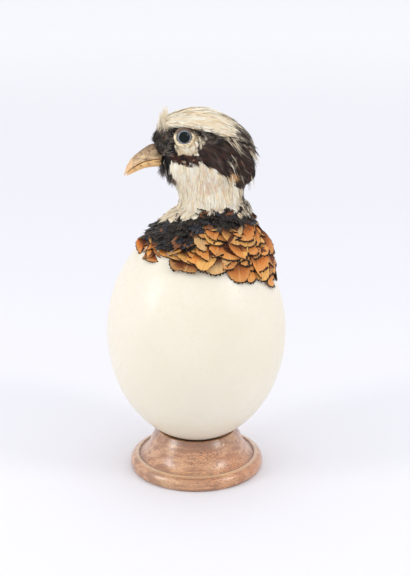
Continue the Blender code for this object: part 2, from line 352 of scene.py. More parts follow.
# Outlines of the tracts are x and z in mm seen from the side. Edges that run round the neck are a bearing
# from the back, in degrees, with its height in mm.
MM = 0.001
SKIN_GRAIN = 0.0012
SKIN_SINK = 0.0011
BIRD_AXIS_X = 0.008
MOUTH_CORNER = (-0.0265, 0.2354)
MOUTH_REACH = (0.0062, 0.0019)
BROW = [(-60, 256), (-31, 256), (-29, 256), (-19.6, 256.4), (-14, 257.0), (-9.7, 258.8), (2.8, 258.5),
        (11.1, 255.6), (20.2, 253.2), (25.1, 250.0), (32, 244), (38, 238.5), (43, 232)]
CHEEK = [(-15.0, 250.5), (-12.6, 243.4), (-12.6, 238.2), (-4.2, 238.5), (2.8, 242.3), (6.3, 246.0),
         (8.4, 248.6), (12.5, 250.1), (2, 253.2), (-3, 256.5), (-11, 256.5), (-14.6, 254)]
FACE = [(-50, 262), (-50, 236.5), (-21, 237.0), (-12.6, 237.2), (-2, 239), (2.8, 242.3), (8.4, 249.6),
        (26, 246), (30, 262)]
RED_BAND = [(-22, 232.8), (-14, 231.6), (-4, 230.8), (5, 232.6), (6, 240.0), (-4, 238.4), (-22, 238.0)]
CHIN = [(-34, 236), (-21.1, 236), (-16.9, 235.6), (-17.6, 228.8), (-13.5, 218.0), (-23.8, 217), (-34, 222)]
EAR = [(2, 236.5), (4.2, 234.6), (11.2, 231.7), (18.2, 227.1), (23.8, 222.1), (27.5, 214.3), (31.8, 211.6),
       (38.5, 211.0), (50, 213), (50, 260), (20, 256), (8.4, 249.6), (2.8, 242.3)]
RUFF_TOP = [(0, 193), (20, 194), (34, 195.2), (36, 199.6), (46, 199.5), (50, 203.7), (56, 201.1), (64, 200),
            (76, 199.9), (80, 195.9), (86, 197.9), (91, 199.4), (99, 201.1), (105, 198.6), (110, 195.8),
            (121, 196.7), (124, 194.2), (133, 192.9), (136, 195.8), (144, 192.8), (148, 191), (161, 192.3),
            (166, 190.2), (170, 187.3), (180, 187)]
CAPE_EDGE = [(0, 146), (22, 146.7), (33, 150), (41, 153.4), (50, 155.4), (56, 158.2), (59, 164.5),
             (71, 163.0), (80, 164.0), (97, 163.8), (107, 165.8), (114, 169.2), (126, 170.5), (131, 166.6),
             (146, 168), (165, 167.6), (180, 168)]
CAPE_TOP = [(0, 187), (30, 188), (38, 189), (47, 189.5), (57, 188.2), (64, 187.4), (72, 187), (77, 188.6),
            (87, 189.3), (98, 191.3), (100, 190), (103, 181.5), (107, 181), (109, 175.2), (117, 175.2),
            (125, 175.5), (134, 174.3), (141, 173), (146, 179), (154, 178.5), (170, 175.9), (180, 175.5)]


def within(x, z, outline):
    """Which points lie inside a closed outline seen from the side."""
    inside = np.zeros(len(x), bool)
    for (x0, z0), (x1, z1) in zip(outline, outline[1:] + outline[:1]):
        if z0 != z1:
            inside ^= ((z0 > z) != (z1 > z)) & (x < (x1 - x0) * (z - z0) / (z1 - z0) + x0)
    return inside


def bearing(points):
    """How far round from the back of the neck a point lies, 0 at the back and 180 at the throat."""
    return np.degrees(np.abs(np.arctan2(points[:, 1], points[:, 0] - BIRD_AXIS_X)))


def tract_of(points):
    """Names the tract of feathers that each point of the bird belongs to."""
    x, z = points[:, 0] / MM, points[:, 2] / MM
    round_to = bearing(points)
    tract = np.full(len(points), "throat", dtype="<U8")
    tract[(x > 29) & (z < 217)] = "nape"
    tract[within(x, z, EAR)] = "ear"
    tract[within(x, z, FACE)] = "face"
    tract[within(x, z, CHEEK)] = "cheek"
    tract[within(x, z, RED_BAND)] = "band"
    tract[within(x, z, CHIN)] = "chin"
    tract[z > np.interp(x, *np.transpose(BROW))] = "crown"
    low = z < 206
    tract[low & (z < np.interp(round_to, *np.transpose(RUFF_TOP)))] = "ruff"
    tract[low & (z < np.interp(round_to, *np.transpose(CAPE_TOP)))] = "cape"
    return tract


DOWN_COLOURS = {
    "throat": hue(255, 244, 220), "nape": hue(206, 182, 150), "ear": hue(52, 39, 31),
    "face": hue(30, 26, 24), "cheek": hue(222, 200, 164), "band": hue(84, 50, 38),
    "chin": hue(28, 24, 22), "crown": hue(255, 244, 220), "ruff": hue(34, 30, 28), "cape": hue(96, 58, 34),
}


def from_mouth(points):
    """How far points lie from the bare strip of horn at the corner of the mouth, 1 at its edge."""
    return np.linalg.norm((points[..., [0, 2]] - MOUTH_CORNER) / MOUTH_REACH, axis=-1)


def copy_of(node, name):
    """A piece begun from the shape of a node, with its loose triangles merged."""
    piece = bpy.data.objects.new(name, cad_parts[node].data.copy())
    bpy.context.scene.collection.objects.link(piece)
    pick(piece)
    piece.data.materials.clear()
    bpy.ops.mesh.customdata_custom_splitnormals_clear()
    bpy.ops.object.mode_set(mode="EDIT")
    bpy.ops.mesh.select_all(action="SELECT")
    bpy.ops.mesh.remove_doubles(threshold=1e-6)
    bpy.ops.object.mode_set(mode="OBJECT")
    return piece


def finish_with(piece, kind, **settings):
    """Puts a modifier on a piece and applies it."""
    modifier = piece.modifiers.new(kind, kind)
    for key, value in settings.items():
        setattr(modifier, key, value)
    pick(piece)
    bpy.ops.object.modifier_apply(modifier=modifier.name)


def down():
    material, tree, shader, place = new_material("down")
    tint = tree.nodes.new("ShaderNodeAttribute")
    tint.attribute_name = "down_colour"
    hairs = noise(tree, stretched(tree, place, (1500, 1500, 260)), 1.0, 3.0)
    dark = blended(tree, 0.10, tint.outputs["Color"], hue(60, 44, 32))
    colour = blended(tree, ranged(tree, hairs, 0.35, 0.65), dark, tint.outputs["Color"])
    wire(tree, colour, shader.inputs["Base Color"])
    shader.inputs["Roughness"].default_value = 0.9
    wire(tree, bumped(tree, hairs, 0.0004), shader.inputs["Normal"])
    return material


def points_of(piece):
    found = np.empty(len(piece.data.vertices) * 3)
    piece.data.vertices.foreach_get("co", found)
    return found.reshape(-1, 3)


bird_nodes = ["head_and_neck", "crown_feathers", "ear_feathers_left", "ear_feathers_right",
              "ruff_feathers", "cape_feathers"]
coverings = [copy_of(node, "skin_" + node) for node in bird_nodes]
bpy.ops.object.select_all(action="DESELECT")
for covering in coverings:
    covering.select_set(True)
bpy.context.view_layer.objects.active = coverings[0]
bpy.ops.object.join()
skin = coverings[0]
skin.name = "skin_and_down"
finish_with(skin, "REMESH", mode="VOXEL", voxel_size=SKIN_GRAIN)
finish_with(skin, "SMOOTH", factor=0.5, iterations=4)
upper_skin = skin.vertex_groups.new(name="head")
upper_skin.add([v.index for v in skin.data.vertices if v.co.z > 0.204], 1.0, "REPLACE")
finish_with(skin, "SMOOTH", factor=0.5, iterations=22, vertex_group="head")
skin_points = points_of(skin)
drawn_in = MM * np.interp(skin_points[:, 2] / MM, [168, 176, 186, 200, 210, 224], [0, 1.5, 3, 3, 1.8, 0])
from_axis = skin_points[:, :2] - (BIRD_AXIS_X, 0)
skin_points[:, :2] -= from_axis * (drawn_in / np.linalg.norm(from_axis, axis=1))[:, None]
skin_points[:, 1] *= 1 - 0.55 * np.exp(-((0.7 * from_mouth(skin_points)) ** 4))
skin.data.vertices.foreach_set("co", skin_points.ravel())
skin_faces = [tuple(face.vertices) for face in skin.data.polygons]
egg_points = points_of(egg)
egg_faces = [tuple(corner + len(skin_points) for corner in face.vertices) for face in egg.data.polygons]
skin_guide = BVHTree.FromPolygons(skin_points.tolist(), skin_faces)
guide = BVHTree.FromPolygons(skin_points.tolist() + egg_points.tolist(), skin_faces + egg_faces)
down_tints = skin.data.attributes.new("down_colour", "FLOAT_COLOR", "POINT")
tract_names = tract_of(skin_points)
down_tints.data.foreach_set("color", np.array([DOWN_COLOURS[name] for name in tract_names]).ravel())
finish_with(skin, "DISPLACE", mid_level=0.0, strength=-SKIN_SINK)
for vertex in skin.data.vertices:
    spot = np.array([tuple(vertex.co)])
    if spot[0, 2] < 0.190:
        edge = (np.interp(bearing(spot)[0], *np.transpose(CAPE_EDGE)) + 5) * MM
        vertex.co.xy *= np.interp(spot[0, 2], [edge - 0.004, edge + 0.003], [0.88, 1.0])
skin.data.materials.append(down())
settle(skin)
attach(skin, "root")
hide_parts("head_and_neck")

# --- Eyes --------------------------------------------------------------------------------------------
# Glass eyes with a silver-grey iris and a black pupil, set in lids of dried skin that have shrunk into a
# pale ring. A second ring is pressed flat, so that its brown upper fold covers the top of the iris.

EYE_TURN = 0.10
# Each ring has a name, radius, thickness, how far out and up it sits, and how flat it is pressed.
EYE_RINGS = (
    ("lid", 0.0061, 0.0009, 0.0030, -0.0003, 1.0),
    ("fold", 0.0062, 0.0009, 0.0033, -0.0001, 0.86),
)
IRIS_REACH = 0.32
PUPIL_REACH = 0.215


def joined(tree, *parts):
    """Coordinates put together from two or three numbers."""
    node = tree.nodes.new("ShaderNodeCombineXYZ")
    for part, socket in zip(parts, node.inputs):
        wire(tree, part, socket)
    return node.outputs[0]


def eye_glass():
    material, tree, shader, _ = new_material("eye_glass")
    chart = tree.nodes.new("ShaderNodeUVMap")
    chart.uv_map = "UVMap"
    parts = axes(tree, chart.outputs[0])
    outward = maths(tree, "SUBTRACT", 1.0, parts["Y"])
    flecks = noise(tree, joined(tree, times(tree, parts["X"], 60.0), times(tree, outward, 6.0)), 1.0, 2.0)
    colour = blended(tree, ranged(tree, flecks, 0.3, 0.7), hue(104, 108, 114), hue(150, 154, 162))
    rim = ranged(tree, outward, IRIS_REACH - 0.045, IRIS_REACH + 0.005)
    colour = blended(tree, rim, colour, hue(44, 34, 30))
    # The pupil is black with a faint teal cast, which is a painted reflection.
    pupil = ranged(tree, outward, PUPIL_REACH - 0.006, PUPIL_REACH + 0.012, 1.0, 0.0)
    colour = blended(tree, pupil, colour, hue(6, 16, 16))
    wire(tree, colour, shader.inputs["Base Color"])
    shader.inputs["Roughness"].default_value = 0.3
    shader.inputs["Specular IOR Level"].default_value = 0.0
    shader.inputs["Coat Weight"].default_value = 0.6
    shader.inputs["Coat IOR"].default_value = 1.4
    shader.inputs["Coat Roughness"].default_value = 0.03
    return material


def eyelid():
    material, tree, shader, place = new_material("eyelid")
    wrinkles = noise(tree, stretched(tree, place, (420, 420, 900)), 1.0, 3.0)
    upper = ranged(tree, axes(tree, place)["Z"], eye_top - 0.0050, eye_top - 0.0020)
    colour = blended(tree, upper, hue(246, 228, 190), hue(112, 92, 74))
    colour = blended(tree, ranged(tree, wrinkles, 0.48, 0.62, 0.0, 0.6), colour, hue(96, 74, 56))
    wire(tree, colour, shader.inputs["Base Color"])
    shader.inputs["Roughness"].default_value = 0.6
    wire(tree, bumped(tree, wrinkles, 0.0003), shader.inputs["Normal"])
    return material


creases = bpy.data.textures.new("creases", "CLOUDS")
creases.noise_scale = 0.0022
eye_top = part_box("eye_left")[1].z
eye_finish = eye_glass()
lid_finish = eyelid()
for side, sign in (("left", -1), ("right", 1)):
    low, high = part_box(f"eye_{side}")
    centre = (low + high) / 2
    radius = (high.x - low.x) / 2
    outward = Vector((EYE_TURN, sign, EYE_TURN)).normalized()
    facing = outward.to_track_quat("Z", "Y").to_euler()
    bpy.ops.object.select_all(action="DESELECT")
    bpy.ops.mesh.primitive_uv_sphere_add(
        segments=48, ring_count=32, radius=radius, location=centre, rotation=facing
    )
    glass = bpy.context.object
    glass.name = f"glass_eye_{side}"
    settle(glass)
    glass.data.materials.append(eye_finish)
    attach(glass, "root")
    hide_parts(f"eye_{side}")
    for ring, across, thickness, out, up, squash in EYE_RINGS:
        bpy.ops.object.select_all(action="DESELECT")
        bpy.ops.mesh.primitive_torus_add(
            major_radius=across, minor_radius=thickness, major_segments=64, minor_segments=14,
            location=centre + outward * out + Vector((0, 0, up)), rotation=facing,
        )
        lid = bpy.context.object
        lid.name = f"eye_{ring}_{side}"
        settle(lid)
        bpy.ops.transform.resize(value=(1.0, 1.0, squash), center_override=tuple(centre))
        settle(lid)
        finish_with(lid, "DISPLACE", texture=creases, texture_coords="LOCAL", strength=0.0006)
        lid.data.materials.append(lid_finish)
        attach(lid, "root")

# --- Beak --------------------------------------------------------------------------------------------
# Two sheaths of horn, grey-beige and worn along the ridge above, paler and more orange below. They
# close on a fine dark line that turns red-brown towards the tip.

NOSTRIL = (-0.0325, 0.0050, 0.2398)


def horn(name, side, ridge, flush, under):
    """Horn with growth streaks along the beak, a worn ridge and a red-brown cutting edge."""
    material, tree, shader, place = new_material(name)
    streaks = noise(tree, stretched(tree, place, (150, 700, 700), (0, 0.75, 0)), 1.0, 3.0, 0.6)
    clouds = noise(tree, stretched(tree, place, (260, 260, 260)), 1.0, 2.0)
    facing = axes(tree, tree.nodes.new("ShaderNodeNewGeometry").outputs["Normal"])["Z"]
    along = axes(tree, place)["X"]
    colour = blended(tree, ranged(tree, streaks, 0.35, 0.65), side, flush)
    upward = ranged(tree, maths(tree, "ADD", facing, times(tree, clouds, 0.5)), 0.45, 1.15)
    colour = blended(tree, upward, colour, ridge)
    colour = blended(tree, ranged(tree, clouds, 0.50, 0.66, 0.0, 0.8), colour, hue(126, 98, 70))
    near_tip = ranged(tree, along, -0.052, -0.036, 0.8, 0.0)
    colour = blended(tree, near_tip, colour, under)
    smudges = noise(tree, stretched(tree, place, (110, 420, 420), (0, 0.75, 0)), 1.0, 4.0, 0.7)
    smudged = times(tree, ranged(tree, smudges, 0.54, 0.66), ranged(tree, along, -0.046, -0.036))
    colour = blended(tree, times(tree, smudged, 0.75), colour, hue(104, 82, 62))
    facing_down = ranged(tree, facing, -0.75, -0.35, 0.6, 0.0)
    colour = blended(tree, facing_down, colour, under)
    # Round each nostril the horn is painted dark, as painted shade inside the opening.
    folded = vector_maths(tree, "ABSOLUTE", place)["Vector"]
    away = vector_maths(tree, "DISTANCE", folded, (-NOSTRIL[0], NOSTRIL[1], NOSTRIL[2]))["Value"]
    painted_nostril_shade = ranged(tree, away, 0.0006, 0.0022, 0.9, 0.0)
    colour = blended(tree, painted_nostril_shade, colour, hue(70, 44, 32))
    wire(tree, colour, shader.inputs["Base Color"])
    wire(tree, ranged(tree, streaks, 0.3, 0.7, 0.30, 0.48), shader.inputs["Roughness"])
    shader.inputs["Subsurface Weight"].default_value = 0.15
    shader.inputs["Subsurface Radius"].default_value = (0.002, 0.001, 0.0005)
    wire(tree, bumped(tree, streaks, 0.00025), shader.inputs["Normal"])
    return material


horns = (
    ("upper_beak", "horn",
     hue(222, 196, 152), hue(124, 100, 76), hue(186, 154, 114), hue(232, 188, 134)),
    ("lower_beak", "horn_pale",
     hue(244, 196, 124), hue(206, 132, 84), hue(250, 216, 156), hue(248, 196, 136)),
)
beak_low, beak_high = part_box("lower_beak")
growth = bpy.data.textures.new("growth", "CLOUDS")
growth.noise_scale = 0.004
for node, slot, *tints in horns:
    sheath = copy_of(node, node + "_horn")
    if node == "lower_beak":
        bpy.ops.object.mode_set(mode="EDIT")
        bpy.ops.mesh.select_all(action="SELECT")
        bpy.ops.transform.resize(value=(1.0, 1.03, 1.08), center_override=tuple((beak_low + beak_high) / 2))
        bpy.ops.transform.translate(value=(0, 0, 0.0005))
        bpy.ops.object.mode_set(mode="OBJECT")
    finish_with(sheath, "SUBSURF", levels=2, render_levels=2)
    finish_with(sheath, "DISPLACE", texture=growth, texture_coords="LOCAL", strength=0.0006)
    for vertex in sheath.data.vertices:
        x, y, z = vertex.co
        away = sqrt((0.6 * (x - NOSTRIL[0])) ** 2 + (abs(y) - NOSTRIL[1]) ** 2 + (z - NOSTRIL[2]) ** 2)
        vertex.co.y *= 1 - 0.22 * np.exp(-((away / 0.0011) ** 2))
        flare = np.exp(-(((z - MOUTH_CORNER[1]) / MOUTH_REACH[1]) ** 2))
        vertex.co.y *= 1 + 0.22 * flare * np.interp(x, [-0.033, -0.027], [0, 1])
    sheath.data.materials.append(horn(slot, *tints))
    settle(sheath)
    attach(sheath, "root")
    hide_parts(node)

# --- Cape --------------------------------------------------------------------------------------------
# Rust and buff feathers with fine black lacing, from the hen's breast and back. Each is a wide rounded
# vane that overlaps the next row like a roof slate, and the lowest row ends raggedly on the shell.

TONES = 8
VANE_MARGIN = 0.06
CAPE_PITCH = 4.9 * MM
CAPE_ROWS = 12
RAY_START = 0.12


def feather_vane():
    """Reads the chart that every feather lies on, eight tones across and eight kinds up."""
    tree = bpy.data.node_groups.new("feather vane", "ShaderNodeTree")
    tree.interface.new_socket("Chart", in_out="INPUT", socket_type="NodeSocketVector")
    for name in ("Kind", "Tone", "Across", "Along", "Shaft", "Barbs", "Hairs"):
        tree.interface.new_socket(name, in_out="OUTPUT", socket_type="NodeSocketFloat")
    given = tree.nodes.new("NodeGroupInput").outputs["Chart"]
    put_out = tree.nodes.new("NodeGroupOutput")
    parts = axes(tree, given)
    column = maths(tree, "FLOOR", times(tree, parts["X"], TONES))
    row = maths(tree, "FLOOR", times(tree, parts["Y"], TONES))
    across = maths(tree, "FRACT", times(tree, parts["X"], TONES))
    along = maths(tree, "FRACT", times(tree, parts["Y"], TONES))
    kept = 1 - 2 * VANE_MARGIN
    across = maths(tree, "DIVIDE", maths(tree, "SUBTRACT", across, 0.5), kept / 2)
    along = maths(tree, "DIVIDE", maths(tree, "SUBTRACT", along, VANE_MARGIN), kept)
    outward = maths(tree, "ABSOLUTE", across)
    tone = tree.nodes.new("ShaderNodeTexWhiteNoise")
    tree.links.new(joined(tree, column, row), tone.inputs["Vector"])
    feather = maths(tree, "ADD", column, times(tree, row, 11.3))
    spot = joined(tree, times(tree, across, 6.0), times(tree, along, 1.6), feather)
    slant = maths(tree, "ADD", times(tree, along, 26.0), times(tree, outward, -11.0))
    waver = times(tree, noise(tree, spot, 1.5, 2.0), 9.0)
    barbs = maths(tree, "SINE", times(tree, maths(tree, "ADD", slant, waver), 2 * pi))
    outputs = {
        "Kind": maths(tree, "DIVIDE", maths(tree, "ADD", row, 0.5), TONES),
        "Tone": tone.outputs["Value"],
        "Across": outward,
        "Along": along,
        "Shaft": ranged(tree, outward, 0.02, 0.07, 1.0, 0.0),
        "Barbs": maths(tree, "ADD", times(tree, barbs, 0.5), 0.5),
        "Hairs": noise(tree, spot, 3.0, 3.0, 0.6),
    }
    for name, value in outputs.items():
        tree.links.new(value, put_out.inputs[name])
    return tree


vane_reader = feather_vane()


def plumage(name, kinds, roughness=0.62):
    """A feather material: its tree, shader, the vane's readings and the colour of the feather's kind."""
    material, tree, shader, _ = new_material(name)
    chart = tree.nodes.new("ShaderNodeUVMap")
    chart.uv_map = "OFBake"
    vane = tree.nodes.new("ShaderNodeGroup")
    vane.node_tree = vane_reader
    tree.links.new(chart.outputs[0], vane.inputs["Chart"])
    ramp = tree.nodes.new("ShaderNodeValToRGB")
    ramp.color_ramp.interpolation = "CONSTANT"
    stops = ramp.color_ramp.elements
    stops[0].position, stops[0].color = 0.0, kinds[0]
    stops[1].position, stops[1].color = 1 / TONES, kinds[1]
    for index in range(2, TONES):
        stop = stops.new(index / TONES)
        stop.color = kinds[index]
    tree.links.new(vane.outputs["Kind"], ramp.inputs["Fac"])
    shader.inputs["Roughness"].default_value = roughness
    shader.inputs["Specular IOR Level"].default_value = 0.15
    wire(tree, bumped(tree, vane.outputs["Barbs"], 0.00006), shader.inputs["Normal"])
    return material, tree, shader, vane.outputs, ramp.outputs["Color"]


def laced_rust():
    """Rust and buff vanes with a black margin, a fine pale rim inside it, and dark down at the root deepened
    by painted shade.
    """
    kinds = [hue(246, 154, 68), hue(232, 132, 52), hue(206, 116, 52), hue(252, 190, 102), hue(178, 94, 42),
             hue(222, 188, 134), hue(124, 66, 36), hue(50, 38, 32)]
    material, tree, shader, vane, colour = plumage("plumage_rust", kinds, 0.55)
    colour = blended(tree, ranged(tree, vane["Tone"], 0.0, 1.0, 0.0, 0.45), colour, hue(168, 104, 58))
    colour = blended(tree, ranged(tree, vane["Along"], 0.55, 0.86, 0.0, 0.4), colour, hue(246, 190, 116))
    streaks = ranged(tree, vane["Hairs"], 0.45, 0.75, 0.0, 0.55)
    colour = blended(tree, streaks, colour, hue(120, 70, 38))
    colour = blended(tree, ranged(tree, vane["Barbs"], 0.2, 0.9, 0.0, 0.20), colour, hue(90, 52, 30))
    colour = blended(tree, times(tree, vane["Shaft"], 0.25), colour, hue(240, 200, 140))
    wander = times(tree, maths(tree, "SUBTRACT", vane["Hairs"], 0.5), 0.16)
    edge = maths(tree, "MAXIMUM", vane["Along"], times(tree, vane["Across"], 0.98))
    edge = maths(tree, "ADD", edge, wander)
    colour = blended(tree, ranged(tree, edge, 0.885, 0.935), colour, hue(30, 24, 22))
    # Darker towards the root: partly the feather's dark down, partly painted shade where the row above lies
    # over it.
    colour = blended(tree, ranged(tree, vane["Along"], 0.25, 0.72, 1.0, 0.0), colour, hue(92, 50, 32))
    wire(tree, colour, shader.inputs["Base Color"])
    return material


def vane_form(rows, columns, waist, shoulder, roundness, ragged, seed):
    """One feather as a flat sheet: how far across and along each point lies, its chart place, its faces."""
    chance = np.random.default_rng(seed)
    t, a = np.meshgrid(np.linspace(0, 1, rows + 1), np.linspace(-1, 1, columns + 1), indexing="ij")
    broad = waist + (1 - waist) * np.sin(np.clip(t / shoulder, 0, 1) * pi / 2)
    broad *= np.where(t > shoulder, 1 - 0.10 * ((t - shoulder) / (1 - shoulder)) ** 2, 1)
    along = t * (1 - roundness * (1 - np.sqrt(1 - 0.97 * a * a)))
    tips = chance.uniform(-1, 1, columns + 1) * ragged
    tips[::2] -= ragged * 0.8
    along[-1] += tips
    across = a * broad
    across[:, 1:-1] += chance.uniform(-0.02, 0.02, (rows + 1, columns - 1))
    corner = np.arange(rows * (columns + 1)).reshape(rows, columns + 1)[:, :-1].ravel()
    faces = np.stack([corner, corner + 1, corner + columns + 2, corner + columns + 1], axis=1)
    return across.ravel(), along.ravel(), a.ravel(), t.ravel(), faces


def lay_feathers(name, form, lines, ups, widths, lifts, camber, rolls, kinds, tones, thick=0.0):
    """Lays a copy of a feather along each centre line, with its own width, lift and roll, as one piece."""
    across, along, chart_across, chart_along, faces = form
    count, stations, _ = lines.shape
    step = along * (stations - 1)
    low = np.clip(np.floor(step).astype(int), 0, stations - 2)
    share = (step - low)[None, :, None]
    middle = lines[:, low] * (1 - share) + lines[:, low + 1] * share
    up = ups[:, low] * (1 - share) + ups[:, low + 1] * share
    up /= np.linalg.norm(up, axis=2, keepdims=True)
    ahead = lines[:, low + 1] - lines[:, low]
    ahead /= np.maximum(np.linalg.norm(ahead, axis=2, keepdims=True), 1e-9)
    side = np.cross(up, ahead)
    roll = rolls[:, None, None]
    side = side * np.cos(roll) + up * np.sin(roll)
    out_to = across[None, :, None] * widths[:, None, None] / 2
    root_lift, tip_lift = lifts.T[:, :, None, None]
    rise = root_lift + (tip_lift - root_lift) * along[None, :, None] ** 1.6
    rise = rise - camber * across[None, :, None] ** 2 * widths[:, None, None]
    points = (middle + side * out_to + up * rise).reshape(-1, 3)
    corners = (faces[None] + (np.arange(count) * len(across))[:, None, None]).reshape(-1)
    mesh = bpy.data.meshes.new(name)
    mesh.vertices.add(len(points))
    mesh.vertices.foreach_set("co", points.ravel())
    mesh.loops.add(len(corners))
    mesh.loops.foreach_set("vertex_index", corners.astype(np.int32))
    mesh.polygons.add(len(corners) // 4)
    mesh.polygons.foreach_set("loop_start", np.arange(0, len(corners), 4, dtype=np.int32))
    mesh.update(calc_edges=True)
    kept = 1 - 2 * VANE_MARGIN
    u = (tones[:, None] + 0.5 + chart_across[None] * kept / 2) / TONES
    v = (kinds[:, None] + VANE_MARGIN + chart_along[None] * kept) / TONES
    chart = np.stack([u, v], axis=2).reshape(-1, 2)[corners]
    mesh.uv_layers.new(name="OFBake").data.foreach_set("uv", chart.ravel())
    piece = bpy.data.objects.new(name, mesh)
    bpy.context.scene.collection.objects.link(piece)
    if thick:
        finish_with(piece, "SOLIDIFY", thickness=thick, offset=-1.0)
    mesh.shade_smooth()
    return piece


def outer_profile(angle):
    """The outside of the bird and egg in one upright plane through the axis, from the shell upwards."""
    ahead = Vector((cos(angle), sin(angle), 0))
    profile = []
    for height in np.arange(0.138, 0.216, 0.001):
        middle = Vector((np.interp(height, [0.165, 0.200], [0.0, BIRD_AXIS_X]), 0, height))
        hit = guide.ray_cast(middle + ahead * RAY_START, -ahead)
        if hit[0] is not None:
            profile.append((hit[0], hit[1]))
    return profile


def row_lines(angles, tips, lengths, insets, stations):
    """Centre lines that run down the outside, each ending its own distance up from the cape's edge."""
    lines, ups = np.empty((2, len(angles), stations, 3))
    for index, (angle, tip, length) in enumerate(zip(angles, tips, lengths)):
        profile = outer_profile(angle)
        places = np.array([tuple(place) for place, _ in profile])
        normals = np.array([tuple(normal) for _, normal in profile])
        climbed = np.concatenate([[0], np.cumsum(np.linalg.norm(np.diff(places, axis=0), axis=1))])
        edge = np.interp(np.degrees(abs(angle)), *np.transpose(CAPE_EDGE)) * MM
        start = np.interp(edge, places[:, 2], climbed) + tip
        wanted = start + length * np.linspace(1, 0, stations)
        for axis in range(3):
            lines[index, :, axis] = np.interp(wanted, climbed, places[:, axis])
            ups[index, :, axis] = np.interp(wanted, climbed, normals[:, axis])
    ups /= np.linalg.norm(ups, axis=2, keepdims=True)
    return lines - ups * insets[:, None, None], ups


def set_in_rows(counts, sway, pitch, stagger, reach):
    """Feathers in rows that break joint: where each lies round the neck, its tip's height and its length."""
    angles, tips, lengths = [], [], []
    for row, around in enumerate(counts):
        for index in range(around):
            turned_to = index + 0.5 * (row % 2) + chance.uniform(-sway, sway)
            angles.append(turned_to / around * 2 * pi - pi)
            tips.append(row * pitch + chance.uniform(*stagger) * MM)
            lengths.append(chance.uniform(*reach) * MM)
    return np.array(angles), np.array(tips), np.array(lengths)


def swung(lines, ups, sway):
    """Centre lines that bend to one side towards their tips, each by its own amount."""
    count, stations, _ = lines.shape
    side_swing = chance.normal(0, sway, count)
    sideways = np.cross(ups[:, -1], lines[:, -1] - lines[:, -2])
    sideways /= np.linalg.norm(sideways, axis=1, keepdims=True)
    bend = side_swing[:, None, None] * np.linspace(0, 1, stations)[None, :, None] ** 2
    return lines + sideways[:, None, :] * bend


def height_at(edge, points):
    """The height, in mm, of an edge that runs round the neck, at each point's bearing."""
    return np.interp(bearing(points), *np.transpose(edge))


chance = np.random.default_rng(7)
cape_counts = [34 - row for row in range(CAPE_ROWS)]
angles, tips, lengths = set_in_rows(cape_counts, 0.28, CAPE_PITCH, (-3.0, 2.4), (17, 23))
lines, ups = row_lines(angles, tips, lengths, np.zeros(len(angles)), 8)
below_top = height_at(CAPE_TOP, lines[:, -1]) - lines[:, -1, 2] / MM
lengths = np.minimum(lengths, np.interp(below_top, [0, 12], [9, 24]) * MM)
lengths = np.minimum(lengths, np.interp(bearing(lines[:, -1]), [92, 112], [24, 9.5]) * MM)
lines, ups = row_lines(angles, tips, lengths, np.interp(below_top, [0, 16], [2.0, 0.5]) * MM, 8)
ends = lines[:, -1]
is_cape = ends[:, 2] < (height_at(CAPE_TOP, ends) - 1.5) * MM
lines, ups = lines[is_cape], ups[is_cape]
root_lifts = np.interp(tips[is_cape] / MM, [0, 4, 12], [-0.5, -1.3, -1.9]) * MM
count = len(lines)
lines = swung(lines, ups, 2.5 * MM)
kinds = chance.choice(8, count, p=[0.27, 0.20, 0.13, 0.16, 0.10, 0.05, 0.06, 0.03])
ends = lines[:, -1]
pale = np.argmin(np.abs(bearing(ends) - 98) * 0.5 + np.abs(ends[:, 2] / MM - 187) + 99 * (ends[:, 1] > 0))
kinds[pale] = 5
cape = lay_feathers(
    "cape_plumage", vane_form(9, 18, 0.45, 0.60, 0.60, 0.070, 3), lines, ups,
    chance.uniform(14, 25, count) * MM,
    np.stack([root_lifts, chance.uniform(0.6, 2.8, count) * MM], axis=1),
    0.08, chance.normal(0, 0.19, count), kinds, chance.integers(0, TONES, count), 0.12 * MM,
)
cape.data.materials.append(laced_rust())
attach(cape, "root")
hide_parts("cape_feathers")

# --- Ruff --------------------------------------------------------------------------------------------
# Small black feathers in short loose rows between the cream neck and the cape, with a faint green and blue
# gloss painted into their colour. Their webs are split, so the edges look torn.


def black_plumage():
    # Kinds 2 and 3 carry the green and blue gloss as painted sheen; the grey kinds 4 and 6 are partly grey
    # strands and partly painted highlight.
    kinds = [hue(30, 27, 26), hue(40, 37, 36), hue(32, 38, 36), hue(38, 46, 58), hue(172, 160, 146),
             hue(150, 96, 62), hue(100, 90, 78), hue(22, 20, 20)]
    material, tree, shader, vane, colour = plumage("plumage_black", kinds, 0.42)
    colour = blended(tree, ranged(tree, vane["Tone"], 0.2, 1.0, 0.0, 0.35), colour, hue(20, 18, 18))
    # The lighter hair-like streaks are partly grey strands and partly painted highlight.
    colour = blended(tree, ranged(tree, vane["Hairs"], 0.54, 0.68, 0.0, 0.7), colour, hue(134, 118, 102))
    colour = blended(tree, times(tree, vane["Shaft"], 0.4), colour, hue(100, 90, 84))
    # A paler rim along the vanes is a painted sheen.
    edge = maths(tree, "MAXIMUM", vane["Along"], vane["Across"])
    edge = times(tree, ranged(tree, edge, 0.86, 0.97), ranged(tree, vane["Hairs"], 0.4, 0.6))
    colour = blended(tree, times(tree, edge, 0.55), colour, hue(112, 102, 94))
    colour = blended(tree, ranged(tree, vane["Along"], 0.15, 0.5, 0.6, 0.0), colour, hue(14, 12, 12))
    wire(tree, colour, shader.inputs["Base Color"])
    wire(tree, ranged(tree, vane["Barbs"], 0.0, 1.0, 0.34, 0.52), shader.inputs["Roughness"])
    return material


